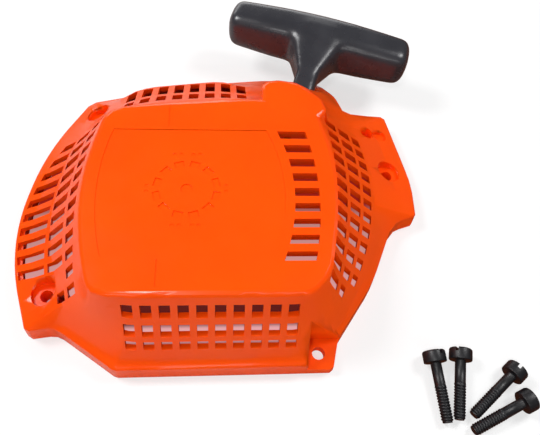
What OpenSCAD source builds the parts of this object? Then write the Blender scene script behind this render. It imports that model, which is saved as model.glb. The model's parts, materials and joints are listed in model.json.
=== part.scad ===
// Recoil starter of a chainsaw: moulded cover with cooling grilles, spring cassette, rope pulley with
// moulded ratchet dogs, pull rope, T handle and the four screws that hold the cover to the crankcase.
// The cover lies open side down: z = 0 is its mating plane, +Z is its outer side, and the origin is
// where the crankshaft axis meets the mating plane.

/* [Cover] */
// Height of the cover, from the mating plane to its outer face
cover_h = 44; // [42:0.5:50]
// Height of the upright rim around the cover
rim_h = 10; // [8:0.5:12]
// Wall thickness of the sloping walls and the rim
wall = 2.4; // [1.8:0.1:3]
// Thickness of the flat outer face
face_t = 2.5; // [2:0.1:3.2]
// Height at which the sloping walls meet the ears
knee_h = 20; // [18:0.5:22]
// Height of the back edge of the grille behind the pulley
back_h = 27; // [25:0.5:29]
// Rounding of the outer face's edge
edge_r = 1.7; // [1:0.1:2.2]

/* [Grilles] */
// Distance between neighbouring bars
bar_pitch = 7.2; // [6.8:0.1:7.6]
// Width of the openings between upright bars
slot_w = 4.4; // [3.6:0.1:4.8]
// Width of the long slots in the outer face and the side walls
louvre_w = 4; // [3.2:0.1:4.4]
// Number of rows of openings in the front wall's grille columns
front_cols = 10; // [8:1:10]
// Number of columns of openings in the back wall
back_cols = 8; // [6:1:8]
// Number of slots in the outer face
face_slots = 9; // [7:1:9]

/* [Mounting] */
// Diameter of the four holes for the cover screws
hole_d = 5.6; // [5.2:0.1:6]
// Diameter of the counterbores around the screw heads
cbore_d = 12; // [11.2:0.2:12.4]
// Height of the seat under the screw heads
seat_h = 9.5; // [8:0.5:10]
// Thickness of the low ear at the front corner
ear_t = 5; // [4:0.5:6]

/* [Pulley and spring] */
// Diameter of the post that the pulley turns on
post_d = 12; // [11:0.5:13]
// Radial play between the post and the pulley
run_fit = 0.06; // [0.04:0.01:0.1]
// Diameter of the pulley's flanges
pulley_d = 72; // [70:1:74]
// Thickness of each pulley flange
flange_t = 1.5; // [1.2:0.1:1.8]
// Diameter of the ring that carries the ratchet dogs
dog_ring_d = 30; // [29:0.5:30.5]
// Height of the ratchet dogs
dog_h = 9; // [7:0.5:10]
// Outer diameter of the spring cassette
cassette_d = 64; // [62:1:66]
// Wall thickness of the spring cassette
cassette_wall = 1.6; // [1.2:0.1:2]
// Width of the spring strip
spring_w = 5.5; // [5:0.1:6]
// Thickness of the spring strip
spring_t = 0.5; // [0.4:0.05:0.6]
// Number of turns of the spring
spring_turns = 10; // [8:1:11]

/* [Rope and handle] */
// Diameter of the rope
rope_d = 3.4; // [3:0.1:3.6]
// Angle between the rope's way out and the +Y axis
rope_turn = 17.3; // [16:0.1:19]
// Length of the handle's grip bar
grip_l = 98; // [94:1:104]
// Height of the grip bar at its middle
grip_h = 25; // [22:0.5:27]
// Depth of the grip bar at its middle, along the rope
grip_w = 23.5; // [21:0.5:25]
// Distance from the outlet to the middle of the grip bar
grip_out = 39.7; // [38:0.1:43]
// Width of the stem where it meets the cover
stem_w = 11.2; // [10:0.2:11.6]

/* [Cover screws] */
// Thread diameter of the cover screws
screw_d = 5; // [4.8:0.1:5]
// Length of the cover screws under the head
screw_l = 25; // [22:1:27]
// Diameter of the screw heads
head_d = 10; // [9.5:0.1:10.6]
// Height of the screw heads
head_h = 5.2; // [4.6:0.1:5.6]

/* [Hidden] */
$fn = 48;

// Small clearances: between fixed pieces, between moving pieces, and the overlap of a cutting tool
fit = 0.15;
gap = 0.35;
cut = 1;
// Half the width of tools that are wider than the whole cover
beyond = 150;

// Outlines seen from outside, as corners [x, y, corner radius] or [x, y, corner radius, height].
// A face line bounds the flat outer face, a knee line is where the walls meet the ears, and a rim
// line is the outside of the upright rim. hub is the middle that each skin is swept around.
face_line = [[-36, -47.3, 9], [50, -47.8, 9], [58.5, -38, 16], [66.8, 5, 110], [57.5, 47.5, 8],
    [30, 50, 120], [-12, 46.5, 160], [-36.5, 43.2, 9], [-46.3, -2, 128]];
knee_line = [[-24, -58.7, 14, knee_h], [50, -58.7, 10, knee_h], [64, -46, 12, knee_h],
    [83.5, -10, 60, knee_h], [88.5, 20, 60, knee_h], [83, 47, 30, knee_h], [77, 63, 6, knee_h],
    [67, 73, 6, knee_h], [57, 69, 6, knee_h], [39, 70, 4, knee_h + 1], [31, 72, 5, back_h - 1], [13, 75.3, 20, back_h],
    [-22, 70.5, 40, back_h], [-36, 64, 12, back_h - 2], [-46, 55, 10, knee_h], [-57, 40, 50, knee_h],
    [-62.3, -6, 80, knee_h], [-51, -42.5, 12, knee_h]];
rim_line = [[-29.5, -66.1, 3], [62, -66.1, 1.5], [65, -54, 6], [83.5, -28, 60], [97, 2.5, 12],
    [109.3, 6.5, 1.5], [110.1, 25, 60], [102, 68, 2], [81, 69.5, 3], [76.5, 82, 12], [67, 91.5, 12],
    [40, 93, 80], [0, 88.5, 100], [-44.5, 77, 6], [-53.5, 74.8, 6], [-72, 42, 120], [-81.3, -8, 100], [-67.5, -49, 2],
    [-55.5, -47.5, 8]];
hub = [8, 6];
// The same three lines for the hump over the rope's way out
hump_face = [[33.3, 38, 1], [50, 34, 3], [59.5, 39.5, 3], [63.6, 43, 3], [61.5, 50.5, 6], [50.5, 60.3, 8],
    [41, 61.8, 8], [33.8, 60, 2.5]];
hump_knee = [[33.3, 38, 1, knee_h], [50, 30, 3, knee_h], [66, 36, 3, knee_h], [77, 63, 6, knee_h],
    [72.5, 72.5, 8, knee_h], [63, 81.5, 3, knee_h], [57, 70.5, 4, knee_h], [33.4, 70.5, 2, knee_h]];
hump_rim = [[33.4, 38, 1], [50, 30, 3], [68, 36, 3], [79.5, 66, 6], [76, 80, 8], [65, 90.4, 4], [57, 90.6, 4],
    [33.5, 90.4, 2]];
hump_hub = [49, 50];

function unit(v) = v / norm(v);
function mix(a, b, t) = a + (b - a) * t;
// Points of the arc that rounds corner q between its neighbours p and s; each point keeps q's height
function corner_arc(p, q, s, step = 3.5) =
    let (a = unit([p.x - q.x, p.y - q.y]), b = unit([s.x - q.x, s.y - q.y]), r = q[2],
        turn = 180 - acos(a * b), reach = r * tan(turn / 2),
        mid = [q.x, q.y] + unit(a + b) * r / cos(turn / 2),
        t0 = [q.x, q.y] + a * reach - mid, t1 = [q.x, q.y] + b * reach - mid,
        side = sign(cross(t0, t1)), n = max(2, ceil(turn * PI / 180 * r / step)))
    [for (k = [0:n]) let (w = side * turn * k / n)
        [mid.x + t0.x * cos(w) - t0.y * sin(w), mid.y + t0.x * sin(w) + t0.y * cos(w), q[3]]];
function rounded(line) = let (n = len(line))
    [for (i = [0:n - 1]) each corner_arc(line[(i + n - 1) % n], line[i], line[(i + 1) % n])];
function level(line) = [for (c = line) [c.x, c.y, c[2], 0]];
// Distance from the middle c to a rounded outline along angle a, and the outline's height there
function reach(pts, c, a) = let (d = [cos(a), sin(a)], n = len(pts),
        hits = [for (i = [0:n - 1]) let (p = [pts[i].x - c.x, pts[i].y - c.y], j = (i + 1) % n,
                q = [pts[j].x - c.x, pts[j].y - c.y], e = q - p, den = cross(d, e))
            if (abs(den) > 1e-9) let (t = cross(p, e) / den, u = cross(p, d) / den)
                if (t > 0 && u > -1e-6 && u < 1 + 1e-6) [t, mix(pts[i].z, pts[j].z, u)]])
    hits[search(max([for (h = hits) h[0]]), [for (h = hits) h[0]])[0]];

// Directions in which a skin is swept: both ends of every tight corner, filled up evenly
function bearing(p, c) = let (a = atan2(p.y - c.y, p.x - c.x)) a < 0 ? a + 360 : a;
function sorted(v) = len(v) < 2 ? v : let (m = v[floor(len(v) / 2)])
    concat(sorted([for (x = v) if (x < m) x]), [for (x = v) if (x == m) x],
        sorted([for (x = v) if (x > m) x]));
tight_r = 13;
function tight_ends(line, c) = let (n = len(line)) [for (i = [0:n - 1]) if (line[i][2] < tight_r)
    let (arc = corner_arc(line[(i + n - 1) % n], line[i], line[(i + 1) % n]))
        each [bearing(arc[0], c), if (line[i][2] > 7) bearing(arc[floor(len(arc) / 2)], c),
            bearing(arc[len(arc) - 1], c)]];
function thinned(v, least) = [for (i = [0:len(v) - 1]) if (i == 0 || v[i] - v[i - 1] > least) v[i]];
function rays(lines, c, step) =
    let (sharp = thinned(sorted([for (l = lines) each tight_ends(l, c)]), 0.4))
    sorted(concat(sharp, [for (a = [0:step:360 - step])
        if (min([for (s = sharp) abs(s - a)]) > step / 2.5) a]));
// Spokes [angle, reach of the face line, of the knee line, knee height, reach of the rim line]
function spokes(face, knee, rim, c, step) =
    let (f = rounded(level(face)), k = rounded(knee), r = rounded(level(rim)))
    [for (a = rays([level(face), level(rim)], c, step)) let (m = reach(k, c, a))
        [a, reach(f, c, a)[0], m[0], m[1], reach(r, c, a)[0]]];

// Point of a spoke's wall at share f of the way from face to knee, as [distance from hub, height]
bulge = 1.15;
rim_draft = 0.7;
function on_wall(s, f) = [s[1] + (s[2] - s[1]) * pow(f, bulge), mix(cover_h, s[3], f)];
// Point where the ear levels out; it lies lower towards the front wall
function on_ear(s) = let (w = pow(max(0, -sin(s[0])), 2))
    [s[2] + (s[4] - s[2]) * (0.55 - 0.05 * w), rim_h + (s[3] - rim_h) * (0.35 - 0.17 * w)];
function swept(profiles, sp, c) = [for (profile = profiles)
    [for (i = [0:len(sp) - 1]) let (p = profile[i], a = sp[i][0])
        [c.x + p[0] * cos(a), c.y + p[0] * sin(a), p[1]]]];
function lowered(profile, dr, dz) = [for (p = profile) [p[0] - dr, p[1] - dz]];
function outer_profiles(sp, foot_z) = [
    [for (s = sp) [s[4] + rim_draft * (1 - foot_z / rim_h), foot_z]],
    [for (s = sp) [s[4] + 0.1, rim_h - 1]],
    [for (s = sp) [s[4] - 0.3, rim_h - 0.3]],
    [for (s = sp) [s[4] - 1, rim_h]],
    [for (s = sp) on_ear(s)],
    [for (s = sp) on_wall(s, 1)],
    [for (s = sp) on_wall(s, 0.66)],
    [for (s = sp) on_wall(s, 0.33)],
    [for (s = sp) on_wall(s, edge_r / (cover_h - s[3]))],
    [for (s = sp) [s[1] - edge_r * 0.15, cover_h - edge_r * 0.3]],
    [for (s = sp) [s[1] - edge_r, cover_h]]];
skin_r = wall * 0.68;
skin_z = wall * 0.76;
function inner_profiles(sp, foot_z) = [
    [for (s = sp) [s[4] + rim_draft - wall, foot_z]],
    [for (s = sp) [s[4] - wall - 0.6, rim_h - wall * 0.8]],
    lowered([for (s = sp) on_ear(s)], skin_r, skin_z),
    lowered([for (s = sp) on_wall(s, 1)], skin_r, skin_z),
    lowered([for (s = sp) on_wall(s, 0.5)], skin_r, skin_z),
    [for (s = sp) [s[1] - wall * 0.7, cover_h - face_t - 0.8]],
    [for (s = sp) [s[1] - wall, cover_h - face_t]]];
// Closed solid through rings of points that run counter-clockwise, seen from the last ring
module lofted(rings) {
    n = len(rings[0]);
    m = len(rings);
    polyhedron([for (r = rings) each r],
        concat([[for (i = [0:n - 1]) i]], [[for (i = [n - 1:-1:0]) (m - 1) * n + i]],
            [for (j = [0:m - 2], i = [0:n - 1])
                [j * n + i, (j + 1) * n + i, (j + 1) * n + (i + 1) % n, j * n + (i + 1) % n]]));
}
main_spokes = spokes(face_line, knee_line, rim_line, hub, 4);
hump_spokes = spokes(hump_face, hump_knee, hump_rim, hump_hub, 9);

// Heights of the inside, counted down from the outer face
inside_z = cover_h - face_t;
cassette_base = 1.4;
cassette_lid = 1;
spring_play = 0.5;
cassette_h = cassette_base + spring_w + 2 * spring_play;
lid_z = inside_z - cassette_h - cassette_lid;
pulley_top = lid_z - gap;
groove_w = 2 * rope_d + 0.3;
rope_z = pulley_top - flange_t - groove_w / 2;
pulley_bottom = rope_z - groove_w / 2 - flange_t;
hub_bottom = pulley_bottom - 2;
washer_t = 1.2;
post_z = hub_bottom - 0.2;

// Rope: two turns side by side and three deep; the third layer is the end that leaves the cover
core_r = pulley_d / 2 - 12;
lay = rope_d - 0.05;
wound_r = core_r + rope_d / 2 + 2 * lay;
pull = [sin(rope_turn), cos(rope_turn)];
// Point on the rope's line, s along the pull from where the rope leaves the winding
function on_rope(s) = [wound_r * cos(rope_turn) + s * pull.x, -wound_r * sin(rope_turn) + s * pull.y];
outlet_s = 80;
module along_rope(s)
    translate([on_rope(s).x, on_rope(s).y, rope_z])
    rotate([0, 0, -rope_turn])
    children();
module rod(d, l) rotate([-90, 0, 0]) cylinder(d = d, h = l);

// Screw places
cbores = [[-60.6, -33.4], [-47.3, 62.5], [97.8, 29.6]];
boss_d = 16.5;
ear_hole = [56.3, -59.4];
ear_inner = [50.9, -53];
ear_reach = 30;
blind_holes = [[89.1, 52.2], [96.5, 53]];
blind_d = 7.6;
blind_z = 9.5;
outlet_boss_d = 15;
bushing_d = 9;
bushing_l = 6;
bushing_flange_d = 13;
bushing_flange_t = 1.3;
bushing_s = outlet_s - gap - bushing_flange_t;
// How much the recess around the bushing's flange widens towards the handle
stem_room = 3;

// Cassette fixing: three ears outside the pulley's flanges
ear_r = 3.5;
cassette_ear_t = 2;
cassette_ears = [90, 210, 330];
small_screw_d = 3;
small_head_d = 5.4;
small_head_h = 1.6;
small_screw_l = 8;
ear_ring_r = max(pulley_d, cassette_d) / 2 + small_head_d / 2 + 1.3;
ear_seat_z = inside_z - cassette_h + cassette_ear_t;

// Pulley
pulley_bore_r = post_d / 2 + run_fit;
hub_r = 10;
eye_r = 11;
core_wall = 2.5;
web_t = flange_t;
dog_wall = 2.1;
dog_tooth = 1.7;
dogs = 6;
knot_r = (core_r - core_wall - dog_ring_d / 2) / 2 - fit;
knot_turn = 200;
rope_hole_z = rope_z - lay / 2;
post_screw_d = 4.2;
post_screw_l = 14;
post_head_d = 9.5;
post_head_h = 3;
washer_d = 18;

// Handle
grip_end_h = 20;
grip_end_w = 19.5;
grip_dome = 6;
stem_fillet = 8;
stem_h = 10.2;
// How the stem's half-sizes grow along it, and the share of its side fillets that its top takes
stem_spread = [0.04, 0.13];
stem_rise = 0.42;
knot_pocket_d = 9.5;
knot_pocket_depth = 9;
grip_knot_r = 3.7;
pocket_y = grip_out + grip_w / 2 - knot_pocket_depth;

// Loose screws beside the cover: tip [x, y] and the way it points
screw_places = [[109, -89.4, -86.5], [114.2, -88.3, -100.8], [120.7, -86.6, -141.3], [119.3, -92.8, -156.2]];
head_slot_w = 1.4;
head_slot_depth = 2;

// Starting places and limits of the grilles. An arc edge is [extreme x, its y, radius, side it bends to].
function arc_x(e, y) = e[0] + e[3] * (e[2] - sqrt(e[2] * e[2] - pow(y - e[1], 2)));
// One opening between two arc edges, centred on height y
module opening(y, left, right, w)
    polygon([[arc_x(left, y - w / 2), y - w / 2], [arc_x(right, y - w / 2), y - w / 2],
        [arc_x(right, y + w / 2), y + w / 2], [arc_x(left, y + w / 2), y + w / 2]]);
left_edges = [[-76.7, -4, 78, 1], [-61.5, -5, 160, 1], [-51.3, -5, 200, 1], [-45.6, -8, 240, 1]];
right_edges = [[64.4, 14, 220, -1], [71.1, 16, 192, -1], [79.2, 18, 142, -1], [85, 18, 115, -1]];
face_edges = [[45.5, -1.5, 86, -1], [56, -1.5, 134, -1]];
// The back grille's columns stand across the others, so its edges swap x and y
back_edges = [[52.3, 12, 223, -1], [60.5, 12, 180, -1], [73, 12, 134, -1]];
bar_w = 1.8;
back_bar_w = 2.8;
back_pitch = bar_pitch + 0.4;
back_x = 24.2;
grille_z = 8;
// Openings of a row: between neighbouring edges, less the bars' width
module row(y, edges, w, first, last, bar = bar_w)
    for (k = [first:last])
        opening(y, edges[k] + [k > 0 ? bar / 2 : 0, 0, 0, 0],
            edges[k + 1] - [k + 1 < len(edges) - 1 ? bar / 2 : 0, 0, 0, 0], w);
face_y = 28.5;
face_pitch = bar_pitch + 0.3;
module face_openings()
    for (k = [0:face_slots - 1])
        row(face_y - face_pitch * k, face_edges, louvre_w, 0, 0);
left_y = -24.2;
left_rows = 10;
module left_openings() {
    for (k = [0:left_rows - 1])
        row(left_y + bar_pitch * k, left_edges, louvre_w, 0, 2);
    for (k = [1, 2])
        row(left_y - bar_pitch * k, left_edges, louvre_w, 2, 2);
    // Short opening beside the front left screw
    opening(left_y - 2 * bar_pitch, [-53.4, -34, 60, 1], left_edges[2] - [bar_w / 2, 0, 0, 0], louvre_w);
}
right_y = 40.5;
right_rows = 12;
module right_openings()
    for (k = [0:right_rows - 1])
        row(right_y - bar_pitch * k, right_edges, louvre_w + 0.3, 0, k > right_rows - 2 ? 1 : 2);
module back_openings()
    mirror([1, -1, 0])
        for (k = [0:back_cols - 1])
            row(back_x - back_pitch * k, back_edges, slot_w + 0.2, 0, 1, back_bar_w);
module upright() translate([0, 0, grille_z]) linear_extrude(cover_h) children();

// Upper and lower edge of each row of the front grille
front_rows = [[38.6, 32.2], [29, 23.2], [20.9, 16.8]];
front_x = -21.8;
module front_openings()
    for (k = [0:front_cols - 1], r = front_rows)
        translate([front_x + bar_pitch * k - slot_w / 2, rim_line[0].y - 20, r[1]])
            cube([slot_w, 45, r[0] - r[1]]);

// Marks on the outer face: a shallow field for a label with bowed sides, a ring of pads around a
// centre dimple, six small ovals and two fine lines
field_y = 31;
field_left = -37;
field_left_r = 110;
field_gap = 4.1;
field_depth = 0.3;
pads = 12;
pad_ring_r = 12.7;
pad_size = [3, 4.2];
pad_depth = field_depth + 0.5;
ovals = [[-4, 17.5, 0], [4, 17.5, 0], [-4, -17.5, 0], [4, -17.5, 0], [-16.5, 0, 90], [16.5, 0, 90]];
oval_size = [4.6, 1.8];
oval_depth = field_depth + 0.25;
face_lines = [[-8.9, 32.5, 13], [-10.9, -44, 11.5]];
line_depth = 0.25;
line_w = 0.5;
// The field's right side follows the inner ends of the face's slots
module label_field()
    intersection() {
        translate([-2 * field_y, -field_y]) square([4 * field_y, 2 * field_y]);
        translate([field_left + field_left_r, 0]) circle(r = field_left_r, $fn = 180);
        translate([face_edges[0][0] - face_edges[0][2], face_edges[0][1]])
            circle(r = face_edges[0][2] - field_gap, $fn = 180);
    }
module face_marks() {
    translate([0, 0, cover_h - field_depth]) linear_extrude(cut) label_field();
    for (k = [0:pads - 1])
        rotate([0, 0, 360 / pads * (k + 0.5)])
            translate([pad_ring_r - pad_size.x / 2, -pad_size.y / 2, cover_h - pad_depth])
                cube([pad_size.x, pad_size.y, cut]);
    for (o = ovals)
        translate([o.x, o.y, cover_h - oval_depth]) rotate([0, 0, o.z]) linear_extrude(cut)
            for (side = [-1, 1])
                translate([side * (oval_size.x - oval_size.y) / 2, 0]) circle(d = oval_size.y, $fn = 24);
    for (m = face_lines)
        translate([m.x, m.y, cover_h - line_depth]) cube([line_w, m[2], cut]);
    translate([0, 0, cover_h - pad_depth]) cylinder(d = 5, h = cut);
}

module inside_parts() {
    for (c = cbores)
        translate([c.x, c.y, -2 * cut]) cylinder(d = boss_d, h = cover_h);
    for (c = blind_holes)
        translate([c.x, c.y, blind_z - wall]) cylinder(d = blind_d + 2 * wall, h = cover_h);
    translate([ear_inner.x - wall, ear_inner.y - ear_reach + wall, -2 * cut])
        cube([ear_reach, ear_reach, cover_h]);
    translate([0, 0, post_z]) cylinder(d = post_d, h = cover_h);
    along_rope(outlet_s - 14) rod(outlet_boss_d, 30);
    for (a = cassette_ears)
        rotate([0, 0, a]) translate([ear_ring_r, 0, ear_seat_z]) cylinder(r = ear_r, h = cover_h);
}

module cuts() {
    translate([-beyond, -beyond, -3 * cut]) cube([2 * beyond, 2 * beyond, 3 * cut]);
    for (c = cbores) {
        translate([c.x, c.y, -2 * cut]) cylinder(d = hole_d, h = cover_h);
        translate([c.x, c.y, seat_h]) cylinder(d = cbore_d, h = cover_h);
    }
    translate([ear_hole.x, ear_hole.y, -2 * cut]) cylinder(d = hole_d, h = cover_h);
    translate([ear_inner.x, ear_inner.y - ear_reach, ear_t]) cube([ear_reach, ear_reach, cover_h]);
    for (c = blind_holes)
        translate([c.x, c.y, blind_z]) cylinder(d = blind_d, h = cover_h);
    upright() face_openings();
    upright() left_openings();
    upright() right_openings();
    upright() back_openings();
    front_openings();
    face_marks();
    along_rope(outlet_s - 30) rod(bushing_d, 60);
    along_rope(bushing_s) rotate([-90, 0, 0])
        cylinder(d1 = bushing_flange_d + 2 * fit, d2 = bushing_flange_d + 2 * fit + 2 * stem_room, h = 30);
    translate([0, 0, post_z - cut]) cylinder(d = post_screw_d + fit, h = post_screw_l + 2 * cut);
    for (a = cassette_ears)
        rotate([0, 0, a]) translate([ear_ring_r, 0, ear_seat_z - cut])
            cylinder(d = small_screw_d + fit, h = small_screw_l - cassette_ear_t + cut);
}

module starter_housing() color("orangered")
    difference() {
        union() {
            lofted(swept(outer_profiles(main_spokes, -cut / 2), main_spokes, hub));
            lofted(swept(outer_profiles(hump_spokes, 6), hump_spokes, hump_hub));
        }
        difference() {
            union() {
                lofted(swept(inner_profiles(main_spokes, -cut), main_spokes, hub));
                lofted(swept(inner_profiles(hump_spokes, 4), hump_spokes, hump_hub));
            }
            inside_parts();
        }
        cuts();
    }

// Lining that the rope runs through where it leaves the cover
module rope_bushing() color("dimgray")
    along_rope(bushing_s) rotate([-90, 0, 0]) rotate_extrude()
        difference() {
            union() {
                translate([0, -bushing_l]) square([bushing_d / 2, bushing_l]);
                square([bushing_flange_d / 2, bushing_flange_t]);
            }
            translate([0, -bushing_l - cut])
                square([rope_d / 2 + gap, bushing_l + bushing_flange_t + 2 * cut]);
        }

module ears_2d() {
    for (a = cassette_ears)
        rotate([0, 0, a]) {
            translate([ear_ring_r, 0]) circle(r = ear_r);
            translate([cassette_d / 2 - 1, -ear_r]) square([ear_ring_r - cassette_d / 2 + 1, 2 * ear_r]);
        }
}
module ear_holes(z, h)
    for (a = cassette_ears)
        rotate([0, 0, a]) translate([ear_ring_r, 0, z]) cylinder(d = small_screw_d + 2 * fit, h = h);

module spring_cassette() color("dimgray")
    difference() {
        union() {
            translate([0, 0, inside_z - cassette_h]) cylinder(d = cassette_d, h = cassette_h);
            translate([0, 0, inside_z - cassette_h]) linear_extrude(cassette_ear_t) ears_2d();
        }
        translate([0, 0, inside_z - cassette_h - cut])
            cylinder(d = cassette_d - 2 * cassette_wall, h = cassette_h - cassette_base + cut);
        translate([0, 0, inside_z - cassette_h]) cylinder(d = post_d + 1, h = cassette_h + cut);
        ear_holes(inside_z - cassette_h - cut, cassette_ear_t + 2 * cut);
    }

module cassette_cover() color("silver")
    difference() {
        translate([0, 0, lid_z]) linear_extrude(cassette_lid) {
            circle(d = cassette_d);
            ears_2d();
        }
        translate([0, 0, lid_z - cut]) cylinder(r = eye_r + 2 * gap, h = cassette_lid + 2 * cut);
        ear_holes(lid_z - cut, cassette_lid + 2 * cut);
    }

module cassette_screws() color("silver")
    for (a = cassette_ears)
        rotate([0, 0, a]) translate([ear_ring_r, 0, 0]) {
            translate([0, 0, lid_z - small_head_h]) cylinder(d = small_head_d, h = small_head_h);
            translate([0, 0, lid_z - 0.5]) cylinder(d = small_screw_d, h = small_screw_l);
        }

// Strip coiled against the cassette's wall, its inner end closing round the pulley's eye
spring_out_r = cassette_d / 2 - cassette_wall - fit - spring_t / 2;
spring_in_r = eye_r + gap + spring_t / 2;
function spring_at(u) = spring_out_r - (spring_out_r - spring_in_r) * (0.62 * u + 0.38 * pow(u, 3));
function spring_side(off, u) = let (r = spring_at(u) + off, a = 360 * spring_turns * u)
    [r * cos(a), r * sin(a)];
module recoil_spring() color("gray") {
    n = 24 * spring_turns;
    translate([0, 0, lid_z + cassette_lid + spring_play])
        linear_extrude(spring_w)
            polygon(concat([for (k = [0:n]) spring_side(spring_t / 2, k / n)],
                [for (k = [n:-1:0]) spring_side(-spring_t / 2, k / n)]));
}

// Ring of ratchet dogs that the crankshaft's pawls catch
dog_turn = 30;
tooth_h = 5;
module dog_ring() {
    z = pulley_bottom - dog_h;
    translate([0, 0, z]) linear_extrude(pulley_top - z - web_t / 2) difference() {
        circle(d = dog_ring_d);
        circle(d = dog_ring_d - 2 * dog_wall);
    }
    r = dog_ring_d / 2 - dog_wall;
    root = r + dog_wall / 4;
    translate([0, 0, z]) linear_extrude(tooth_h)
        for (k = [0:dogs - 1])
            rotate([0, 0, 360 / dogs * k])
                polygon([[root, 0], [r - dog_tooth, 0], [root * cos(dog_turn), root * sin(dog_turn)]]);
}
// Rim of the pulley: a drum between two flanges that thin out towards their edge
flange_edge_t = 0.8;
module pulley_rim() rotate_extrude($fn = 96) {
    r = pulley_d / 2;
    inner = core_r - cut;
    translate([core_r - core_wall, pulley_bottom]) square([core_wall, pulley_top - pulley_bottom]);
    for (side = [-1, 1]) {
        z = side < 0 ? pulley_bottom : pulley_top;
        polygon([[inner, z], [r, z], [r, z - side * flange_edge_t], [core_r, z - side * flange_t],
            [inner, z - side * flange_t]]);
    }
}
ribs = 6;
rib_t = 1.6;
rib_turn = 50;
eye_h = inside_z - cassette_base - spring_play - pulley_top;
// Slot in the eye for the spring's inner end
hook_slot = [3, 1.4];
hook_turn = -40;
module rope_pulley() color("dimgray")
    difference() {
        union() {
            pulley_rim();
            translate([0, 0, pulley_top - web_t]) cylinder(r = core_r - 0.5, h = web_t);
            translate([0, 0, hub_bottom]) cylinder(r = hub_r, h = pulley_top - hub_bottom);
            translate([0, 0, pulley_top - cut]) cylinder(r = eye_r, h = eye_h + cut);
            for (k = [0:ribs - 1])
                rotate([0, 0, 360 / ribs * k + rib_turn])
                    translate([hub_r - cut / 2, -rib_t / 2, pulley_bottom + flange_t])
                        cube([core_r - core_wall - hub_r + cut, rib_t,
                            pulley_top - pulley_bottom - flange_t - web_t / 2]);
            dog_ring();
        }
        translate([0, 0, hub_bottom - cut]) cylinder(r = pulley_bore_r, h = cover_h);
        rotate([0, 0, knot_turn]) translate([core_r - core_wall - cut / 2, 0, rope_hole_z])
            rotate([0, 90, 0]) cylinder(d = rope_d + 2 * fit, h = core_wall + cut);
        rotate([0, 0, hook_turn]) translate([eye_r - hook_slot.x + cut, -hook_slot.y / 2, pulley_top])
            cube([hook_slot.x, hook_slot.y, cover_h]);
    }

module pulley_washer() color("silver")
    translate([0, 0, post_z - washer_t]) difference() {
        cylinder(d = washer_d, h = washer_t);
        translate([0, 0, -cut]) cylinder(d = post_screw_d + 2 * fit, h = washer_t + 2 * cut);
    }

hex_d = 4.6;
hex_depth = 2;
module pulley_screw() color("silver") {
    head_z = post_z - washer_t;
    difference() {
        union() {
            translate([0, 0, head_z - post_head_h]) cylinder(d = post_head_d, h = post_head_h);
            translate([0, 0, head_z - cut / 2]) cylinder(d = post_screw_d, h = post_screw_l + washer_t);
        }
        translate([0, 0, head_z - post_head_h - cut]) cylinder(d = hex_d, h = hex_depth + cut, $fn = 6);
    }
}

// Two layers of rope that stay on the pulley until the pull goes on
module rope_coil() color("whitesmoke") {
    w = 2 * lay;
    outer = core_r + 2 * lay - gap - rope_d / 2;
    rotate_extrude($fn = 96) {
        translate([core_r + 0.05, rope_z - w / 2]) square([outer - core_r - 0.05, w]);
        for (side = [-1, 1])
            translate([outer, rope_z + side * lay / 2]) circle(d = lay);
    }
}

module pulley_knot() color("whitesmoke")
    rotate([0, 0, knot_turn]) {
        translate([core_r - core_wall - fit - knot_r, 0, rope_hole_z]) sphere(r = knot_r);
        translate([core_r - core_wall - fit - knot_r, 0, rope_hole_z]) rotate([0, 90, 0])
            cylinder(d = rope_d, h = core_wall + fit + knot_r);
    }

// Tube along level points, each [x, y], at the rope's height
rope_sides = 8;
module rope_tube(pts) {
    n = len(pts);
    dirs = [for (i = [0:n - 1]) unit(pts[min(i + 1, n - 1)] - pts[max(i - 1, 0)])];
    polyhedron([for (i = [0:n - 1], k = [0:rope_sides - 1])
            let (a = 360 / rope_sides * k, w = rope_d / 2 * cos(a))
                [pts[i].x + dirs[i].y * w, pts[i].y - dirs[i].x * w, rope_z + rope_d / 2 * sin(a)]],
        concat([[for (k = [0:rope_sides - 1]) k]],
            [[for (k = [rope_sides - 1:-1:0]) (n - 1) * rope_sides + k]],
            [for (i = [0:n - 2], k = [0:rope_sides - 1]) let (j = (k + 1) % rope_sides)
                [i * rope_sides + k, (i + 1) * rope_sides + k, (i + 1) * rope_sides + j,
                    i * rope_sides + j]]));
}
lead_wrap = 300;
wrap_steps = 20;
lead_step = 8;
module rope_lead() color("whitesmoke") {
    arc = [for (k = [wrap_steps:-1:1]) let (a = -rope_turn - lead_wrap * k / wrap_steps)
        [wound_r * cos(a), wound_r * sin(a)]];
    line = [for (s = [0:lead_step:outlet_s + pocket_y - lead_step / 2]) on_rope(s)];
    rope_tube(concat(arc, line, [on_rope(outlet_s + pocket_y)]));
}

// Rounded section of half-sizes [a, b] with soft corners
function soft_section(a, b, n, p) = [for (k = [0:n - 1]) let (t = 360 / n * k, c = cos(t), s = sin(t))
    [a * sign(c) * pow(abs(c), 2 / p), b * sign(s) * pow(abs(s), 2 / p)]];
grip_sides = 28;
function grip_dome_at(x) = let (u = max(0, (abs(x) - grip_l / 2 + grip_dome) / grip_dome) * 0.985)
    pow(1 - pow(u, 2.6), 1 / 2.6);
function grip_x() = let (flat = [for (k = [-5:5]) (grip_l / 2 - grip_dome) * k / 5],
        dome = [0.35, 0.6, 0.8, 0.93, 1])
    concat([for (k = [4:-1:0]) -(grip_l / 2 - grip_dome + grip_dome * dome[k])], flat,
        [for (d = dome) grip_l / 2 - grip_dome + grip_dome * d]);
module grip_bar()
    lofted([for (x = grip_x()) let (t = pow(abs(x) / (grip_l / 2), 1.6), d = grip_dome_at(x),
            w = mix(grip_w, grip_end_w, t) / 2 * d, h = mix(grip_h, grip_end_h, t) / 2 * d)
        [for (q = soft_section(w, h, grip_sides, 3.2)) [x, grip_out + q.x, q.y]]]);
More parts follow.
